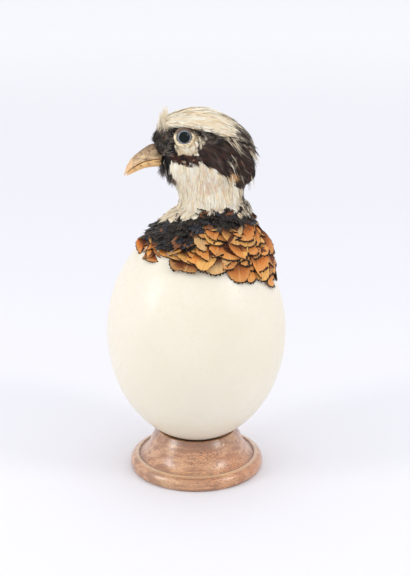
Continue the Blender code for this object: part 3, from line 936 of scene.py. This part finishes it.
black_finish = black_plumage()
RUFF_PITCH = 3.0 * MM
RUFF_ROWS = 20
ruff_counts = [44 - row // 2 for row in range(RUFF_ROWS)]
angles, tips, lengths = set_in_rows(ruff_counts, 0.4, RUFF_PITCH, (-1.5, 1.5), (10, 14))
lines, ups = row_lines(angles, tips, lengths, np.full(len(angles), 0.6 * MM), 6)
ends = lines[:, -1]
below_top = height_at(RUFF_TOP, ends) - ends[:, 2] / MM
lengths = np.minimum(lengths, np.interp(below_top, [0, 10], [6, 14]) * MM)
lines, ups = row_lines(angles, tips, lengths, np.interp(below_top, [0, 8], [1.4, 0.4]) * MM, 6)
is_ruff = ends[:, 2] > (height_at(CAPE_TOP, ends) - 1.5) * MM
is_ruff &= ends[:, 2] < (height_at(RUFF_TOP, ends) - 1.0) * MM
lines, ups = lines[is_ruff], ups[is_ruff]
count = len(lines)
lines = swung(lines, ups, 2.4 * MM)
ruff = lay_feathers(
    "ruff_plumage", vane_form(6, 9, 0.45, 0.55, 0.50, 0.11, 5), lines, ups,
    chance.uniform(7.0, 12.0, count) * MM,
    np.stack([chance.uniform(-2.4, -1.2, count), chance.uniform(0.8, 3.6, count)], axis=1) * MM,
    0.10, chance.normal(0, 0.26, count),
    chance.choice(8, count, p=[0.27, 0.22, 0.15, 0.13, 0.0, 0.09, 0.06, 0.08]),
    chance.integers(0, TONES, count),
)
ruff.data.materials.append(black_finish)
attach(ruff, "root")
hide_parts("ruff_feathers")

# --- Neck --------------------------------------------------------------------------------------------
# Fine cream hackle feathers, loose and hair-like, that lie straight down the throat and the sides of
# the neck. Those picked out at the back are dark, and are laid with the ear patches.


def cream_plumage():
    kinds = [hue(255, 247, 222), hue(255, 240, 206), hue(255, 251, 236), hue(250, 226, 184),
             hue(232, 204, 178), hue(250, 232, 200), hue(70, 54, 42), hue(230, 202, 164)]
    material, tree, shader, vane, colour = plumage("plumage_cream", kinds, 0.7)
    colour = blended(tree, ranged(tree, vane["Hairs"], 0.50, 0.78, 0.0, 0.24), colour, hue(242, 220, 182))
    root = ranged(tree, vane["Along"], 0.0, 0.35, 0.08, 0.0)
    colour = blended(tree, root, colour, hue(214, 184, 148))
    shader.inputs["Sheen Weight"].default_value = 1.0
    shader.inputs["Sheen Roughness"].default_value = 0.6
    shader.inputs["Sheen Tint"].default_value = hue(255, 244, 224)
    off_kind = maths(tree, "ABSOLUTE", maths(tree, "SUBTRACT", vane["Kind"], 5.5 / TONES))
    dark_tipped = maths(tree, "LESS_THAN", off_kind, 0.01)
    tip = times(tree, dark_tipped, ranged(tree, vane["Along"], 0.45, 0.75, 0.0, 0.9))
    colour = blended(tree, tip, colour, hue(48, 38, 32))
    wire(tree, colour, shader.inputs["Base Color"])
    return material


def tuft_form(strands, rows, spread, thin, seed):
    """A split feather as a few fine strands from one root."""
    chance = np.random.default_rng(seed)
    across, along, chart_across, chart_along, faces = [], [], [], [], []
    t = np.linspace(0, 1, rows + 1)
    for strand in range(strands):
        lean = (strand / (strands - 1) - 0.5) * 2 if strands > 1 else 0.0
        reach = chance.uniform(0.78, 1.0)
        centre = lean * (0.45 + (spread - 0.45) * t) + chance.uniform(-0.1, 0.1) * t
        half = thin * (1 - t**2) + 0.04
        start = strand * 2 * (rows + 1)
        across += (centre - half).tolist() + (centre + half).tolist()
        along += (t * reach).tolist() * 2
        chart_across += (lean * 0.6 - 0.3 * (1 - t)).tolist() + (lean * 0.6 + 0.3 * (1 - t)).tolist()
        chart_along += t.tolist() * 2
        for row in range(rows):
            left = start + row
            right = left + rows + 1
            faces.append((left, right, right + 1, left + 1))
    return tuple(np.array(v) for v in (across, along, chart_across, chart_along, faces))


def roots_on_skin(tracts, count, seed):
    """Roots picked over the skin of some tracts, no more than one to each face of the skin."""
    chance = np.random.default_rng(seed)
    corners = np.array([face[:4] for face in skin_faces if len(face) == 4])
    middles = skin_points[corners].mean(axis=1)
    near = np.flatnonzero(np.isin(tract_of(middles), tracts) & (middles[:, 2] > 0.184))
    picked = chance.choice(near, min(count, len(near)), replace=False)
    shares = chance.dirichlet(np.ones(4), len(picked))[:, :, None]
    return (skin_points[corners[picked]] * shares).sum(axis=1)


def walk(roots, headings, lengths, stations, pull=0.0):
    """Centre lines that follow the skin from each root, with the normals along them."""
    lines, ups = np.empty((2, len(roots), stations, 3))
    for index, (root, heading, length) in enumerate(zip(roots, headings, lengths)):
        place, up = skin_guide.find_nearest(Vector(root))[:2]
        ahead = Vector(heading)
        for station in range(stations):
            lines[index, station] = place
            ups[index, station] = up
            ahead.z -= pull
            ahead = (ahead - up * ahead.dot(up)).normalized()
            place, up = skin_guide.find_nearest(place + ahead * (length / (stations - 1)))[:2]
    return lines, ups


def grow(tracts, beds, count, heading, wander, reach, stations, seed, pull=0.0, shown=(0.4, 1.0)):
    """Feathers rooted in some beds of skin whose shown part lies in the named tracts."""
    chance = np.random.default_rng(seed)
    roots = roots_on_skin(beds, count, seed)
    headings = heading(roots) + chance.normal(0, wander, (len(roots), 3))
    lines, ups = walk(roots, headings, chance.uniform(*reach, len(roots)) * MM, stations, pull)
    astray = chance.normal(0, 0.8 * MM, roots.shape)
    kept = np.ones(len(roots), bool)
    for share in shown:
        kept &= np.isin(tract_of(lines[:, round(share * (stations - 1))] + astray), tracts)
    kept &= (from_mouth(lines[:, 1:]) > 1.1).all(axis=1)
    return lines[kept], ups[kept]


def tufts(name, form, grown, breadth, lifts, odds, finish, seed, recolour=None):
    """Lays a tract of split feathers over the skin, some of them given another kind by their place."""
    chance = np.random.default_rng(seed)
    lines, ups = grown
    count = len(lines)
    kinds = chance.choice(TONES, count, p=odds)
    for new_kind, share in (recolour or {}).items():
        kinds[chance.random(count) < share(*(lines[:, -1] / MM).T)] = new_kind
    low, high = lifts
    piece = lay_feathers(
        name, form, lines, ups, chance.uniform(*breadth, count) * MM,
        np.stack([chance.uniform(-0.7, -0.2, count), chance.uniform(low, high, count)], axis=1) * MM,
        0.0, chance.normal(0, 0.22, count), kinds, chance.integers(0, TONES, count),
    )
    piece.data.materials.append(finish)
    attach(piece, "root")
    return piece


def parted(grown, share, seed):
    """Splits a tract in two by chance and by where each feather ends: those kept, and those picked out."""
    picked = np.random.default_rng(seed).random(len(grown[0])) < share(*(grown[0][:, -1] / MM).T)
    return tuple(values[~picked] for values in grown), tuple(values[picked] for values in grown)


def laid_along(x, y, z):
    """Says that every feather of a tract lies one way."""
    return lambda roots: np.tile([x, y, z], (len(roots), 1))


cream_finish = cream_plumage()
neck_hackles = grow(["throat", "nape"], ["throat", "nape", "chin", "band", "ear", "cheek", "ruff"], 9000,
                    laid_along(0.05, 0, -1.0), 0.13, (7, 11), 4, 11)
neck_hackles, dark_nape = parted(neck_hackles, lambda x, y, z: 0.35 * (x > 33) * (z < 214), 15)
# Pinker strands about the middle of the side of the neck, and deeper cream ones low at the front, are
# painted shade where the feathers part.
tufts("neck_plumage", tuft_form(3, 3, 1.0, 0.42, 13), neck_hackles, (1.8, 3.2), (0.0, 0.5),
      [0.34, 0.22, 0.26, 0.06, 0.03, 0.0, 0.0, 0.09], cream_finish, 14, {
          4: lambda x, y, z: 0.60 * np.exp(-(((x - 7) / 7) ** 2 + ((z - 215) / 6) ** 2)),
          3: lambda x, y, z: 0.35 * (x < -12) * (z < 206),
      })

# --- Crown -------------------------------------------------------------------------------------------
# Long cream feathers combed back from the forehead over the top of the head, with a wisp standing up
# at the front. The last ones turn dark at their tips, and some hang free behind the ear.


def combed_back(roots):
    headings = np.tile([1.0, 0.0, -0.10], (len(roots), 1))
    headings[:, 1] += 0.25 * np.sign(roots[:, 1]) * np.clip(np.abs(roots[:, 1]) / 0.018, 0, 1)
    headings[:, 2] += np.interp(roots[:, 0] / MM, [-31, -24], [0.9, 0.0])
    return headings


crown_hackles = grow(["crown"], ["crown", "face"], 2600, combed_back, 0.10, (9, 15), 6, 21, 0.03)
crown_hackles, dark_crown = parted(crown_hackles, lambda x, y, z: np.interp(x, [30, 38], [0.0, 0.7]), 22)
crown = tufts("crown_plumage", tuft_form(3, 5, 1.15, 0.30, 23), crown_hackles, (1.8, 3.2), (0.0, 0.4),
              [0.28, 0.28, 0.22, 0.12, 0.02, 0.02, 0.0, 0.06], cream_finish, 24, {
                  5: lambda x, y, z: np.interp(x, [22, 30, 38], [0.0, 0.45, 0.8]),
              })
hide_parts("crown_feathers")


def free_lines(roots, headings, lengths, sag, stations):
    """Centre lines of feathers that leave the skin and hang in the air, with their upper sides."""
    t = np.linspace(0, 1, stations)[None, :, None]
    headings = headings / np.linalg.norm(headings, axis=1, keepdims=True)
    lines = roots[:, None] + headings[:, None] * lengths[:, None, None] * t
    lines[:, :, 2] -= sag[:, None] * t[:, :, 0] ** 2
    across = np.cross(headings, np.tile([0.0, 1.0, 0.0], (len(roots), 1)))
    across[across[:, 2] < 0] *= -1
    out = np.stack([np.zeros(len(roots)), np.sign(roots[:, 1]), np.zeros(len(roots))], axis=1)
    ups = across + 0.6 * out
    ups /= np.linalg.norm(ups, axis=1, keepdims=True)
    return lines, np.repeat(ups[:, None], stations, axis=1)


chance = np.random.default_rng(25)
roots = roots_on_skin(["crown", "ear"], 4000, 26)
x, y, z = (roots / MM).T
roots = roots[(x > 22) & (z > 226)][:280]
count = len(roots)
back = np.interp(roots[:, 2] / MM, [225, 262], [0.25, 0.85])
headings = np.stack([back, roots[:, 1] * 12, back - 1.3], axis=1) + chance.normal(0, 0.08, (count, 3))
roots[:, 0] -= 2.5 * MM
reach = chance.uniform(9, 15, count) * MM
hanging = free_lines(roots, headings, reach, chance.uniform(1, 5, count) * MM, 6)
pale_ones = tuple(values[:90] for values in hanging)
dark_ones = tuple(values[90:] for values in hanging)
tufts("crown_tips", tuft_form(2, 5, 0.8, 0.30, 27), pale_ones, (1.6, 2.6), (0.0, 0.6),
      [0.10, 0.16, 0.06, 0.06, 0.0, 0.62, 0.0, 0.0], cream_finish, 28)

roots = roots_on_skin(["crown", "face"], 4000, 29)
x, y, z = (roots / MM).T
roots = roots[(x < -20) & (x > -28.0) & (z > 252.5)][:130]
count = len(roots)
headings = np.stack([np.full(count, 0.05), roots[:, 1] * 20, np.ones(count)], axis=1)
headings += chance.normal(0, 0.16, (count, 3))
wisp = free_lines(roots, headings, chance.uniform(5, 11, count) * MM, np.zeros(count), 5)
tufts("forehead_wisp", tuft_form(2, 4, 1.0, 0.22, 30), wisp, (1.1, 2.0), (0.0, 0.2),
      [0.35, 0.25, 0.25, 0.10, 0.0, 0.0, 0.0, 0.05], cream_finish, 31)

# --- Ear patches -------------------------------------------------------------------------------------
# Dark brown feathers that sweep back and down from behind each eye to the nape, ending in long points.
# The dark feathers among the cream ones of the nape and the back of the crown are of the same kind.


def dark_plumage():
    kinds = [hue(62, 48, 42), hue(40, 32, 30), hue(82, 62, 52), hue(112, 64, 46), hue(112, 98, 90),
             hue(216, 186, 148), hue(240, 188, 128), hue(24, 21, 21)]
    material, tree, shader, vane, colour = plumage("plumage_dark", kinds, 0.5)
    colour = blended(tree, ranged(tree, vane["Hairs"], 0.45, 0.75, 0.0, 0.5), colour, hue(96, 84, 78))
    colour = blended(tree, ranged(tree, vane["Barbs"], 0.3, 0.9, 0.0, 0.2), colour, hue(20, 16, 15))
    wire(tree, colour, shader.inputs["Base Color"])
    return material


dark_finish = dark_plumage()
DARKS = [0.34, 0.34, 0.12, 0.02, 0.04, 0.0, 0.0, 0.14]
for name, grown in (("nape_dark", dark_nape), ("crown_dark", dark_crown)):
    tufts(name, tuft_form(3, 4, 1.1, 0.30, 37), grown, (1.8, 3.0), (0.3, 1.2), DARKS, dark_finish,
          38)
tufts("nape_tips", tuft_form(1, 5, 0.8, 0.52, 35), dark_ones, (1.5, 2.6), (0.0, 0.6), DARKS, dark_finish,
      36)
ear_lines, ear_ups = grow(["ear"], ["ear", "cheek", "face", "crown", "band"], 4200,
                          laid_along(0.85, 0.0, -0.62), 0.12, (8, 13), 5, 32, 0.04)
for side, sign in (("left", -1), ("right", 1)):
    on_side = ear_lines[:, 0, 1] * sign > 0
    ear_grown = (ear_lines[on_side], ear_ups[on_side])
    ear = tufts(f"ear_plumage_{side}", tuft_form(3, 4, 1.0, 0.34, 33), ear_grown, (2.0, 3.4), (0.1, 1.0),
                [0.28, 0.22, 0.18, 0.05, 0.13, 0.02, 0.0, 0.12], dark_finish, 34, {
                    6: lambda x, y, z: (np.abs(x - 28.5) < 2.8) * (np.abs(z - 218.5) < 6.5),
                })
    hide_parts(f"ear_feathers_{side}")

# --- Face and chin -----------------------------------------------------------------------------------
# Short black bristly feathers round the base of the beak, over the brow and in a tuft under the chin,
# a pale patch under each eye and a reddish band below it.

BEAK_ROOT = np.array([-0.034, 0, 0.238])
bristle_form = tuft_form(3, 3, 1.1, 0.30, 42)


def off_the_beak(roots):
    return (roots - BEAK_ROOT) / 0.03


face_grown = grow(["face"], ["face", "cheek", "chin", "band"], 3000, off_the_beak, 0.32, (4.0, 7.5), 4, 41)
tufts("face_plumage", tuft_form(3, 3, 1.5, 0.22, 44), face_grown, (1.4, 2.6), (0.3, 2.6),
      [0.20, 0.12, 0.10, 0.08, 0.26, 0.04, 0.10, 0.10], black_finish, 43)
cheek_grown = grow(["cheek"], ["cheek", "face"], 900, laid_along(0.45, 0, -0.9), 0.16, (3.5, 6), 4, 61)
tufts("cheek_plumage", bristle_form, cheek_grown, (0.9, 1.8), (0.2, 1.0),
      [0.36, 0.24, 0.22, 0.08, 0.02, 0.0, 0.0, 0.08], cream_finish, 62, {
          7: lambda x, y, z: 0.6 * (x > -3) * (z > 245),
          6: lambda x, y, z: 0.5 * (x > -2) * (z > 245),
      })
band_grown = grow(["band"], ["band", "face", "cheek"], 1100, laid_along(0.9, 0, -0.2), 0.2, (3.5, 5.5),
                  4, 71, shown=(0.34, 0.67))
tufts("band_plumage", bristle_form, band_grown, (1.0, 1.9), (0.9, 1.7),
      [0.22, 0.24, 0.14, 0.23, 0.05, 0.0, 0.0, 0.12], dark_finish, 72)
chin_grown = grow(["chin"], ["chin", "throat", "face"], 1100, laid_along(0.3, 0, -1.0), 0.3, (5, 9),
                  5, 52, shown=(0.25, 0.5))
chin = tufts("chin_plumage", tuft_form(3, 4, 1.1, 0.30, 53), chin_grown, (1.2, 2.6), (0.8, 5.4),
             [0.24, 0.16, 0.12, 0.10, 0.14, 0.02, 0.14, 0.08], black_finish, 54)
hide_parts("chin_feathers")

# --- Floor, light and camera -------------------------------------------------------------------------
# A pale seamless floor under a bright tent, with a soft light on each side, seen from a little above.

FLOOR_RADIUS = 9.0
CAMERA_PLACE = (0.00635, -0.8465, 0.4114)
CAMERA_DIP = 17.88
CAMERA_LENS = 77.0


def add_light(name, size, power, place, aim, colour=(1.0, 1.0, 1.0)):
    light = bpy.data.lights.new(name, "AREA")
    light.shape = "RECTANGLE"
    light.size, light.size_y = size
    light.energy = power
    light.color = colour
    lamp = bpy.data.objects.new(name, light)
    lamp.location = place
    lamp.rotation_euler = (Vector(place) - Vector(aim)).to_track_quat("Z", "Y").to_euler()
    lamp.visible_camera = False
    bpy.context.scene.collection.objects.link(lamp)
    return lamp


def floor_paper():
    material, tree, shader, place = new_material("floor_paper")
    # The paper is painted darker near the stand and lighter far off, as painted light that evens out the
    # softboxes' light, which falls mostly near the stand.
    painted_far_light = ranged(tree, vector_maths(tree, "LENGTH", place)["Value"], 0.2, 3.0)
    wire(tree, blended(tree, painted_far_light, hue(232, 232, 237), hue(252, 252, 255)), shader.inputs["Base Color"])
    shader.inputs["Roughness"].default_value = 0.9
    shader.inputs["Specular IOR Level"].default_value = 0.1
    return material


bpy.ops.object.select_all(action="DESELECT")
bpy.ops.mesh.primitive_circle_add(
    vertices=96, radius=FLOOR_RADIUS, fill_type="TRIFAN", location=(0, 0, -0.0002)
)
floor = bpy.context.object
floor.name = "floor"
settle(floor)
floor.data.materials.append(floor_paper())

world = bpy.data.worlds.new("tent")
world.use_nodes = True
world.node_tree.nodes["Background"].inputs["Color"].default_value = (0.965, 0.965, 1.0, 1.0)
world.node_tree.nodes["Background"].inputs["Strength"].default_value = 0.99
bpy.context.scene.world = world
bpy.context.scene.view_settings.view_transform = "Standard"

aim_point = (0, 0, 0.16)
add_light("left_softbox", (0.35, 0.7), 4.7, (-1.15, -0.50, 0.75), aim_point, (1.0, 0.99, 0.98))
add_light("right_softbox", (0.35, 0.7), 4.6, (1.10, -0.60, 0.95), aim_point, (1.0, 0.99, 0.98))
add_light("top_softbox", (0.9, 0.9), 1.2, (0.0, 0.35, 1.5), aim_point)

camera_data = bpy.data.cameras.new("camera")
camera_data.lens = CAMERA_LENS
camera_data.sensor_width = 36.0
camera_data.clip_start = 0.01
camera = bpy.data.objects.new("camera", camera_data)
camera.location = CAMERA_PLACE
camera.rotation_euler = (radians(90 - CAMERA_DIP), 0, 0)
bpy.context.scene.collection.objects.link(camera)
bpy.context.scene.camera = camera
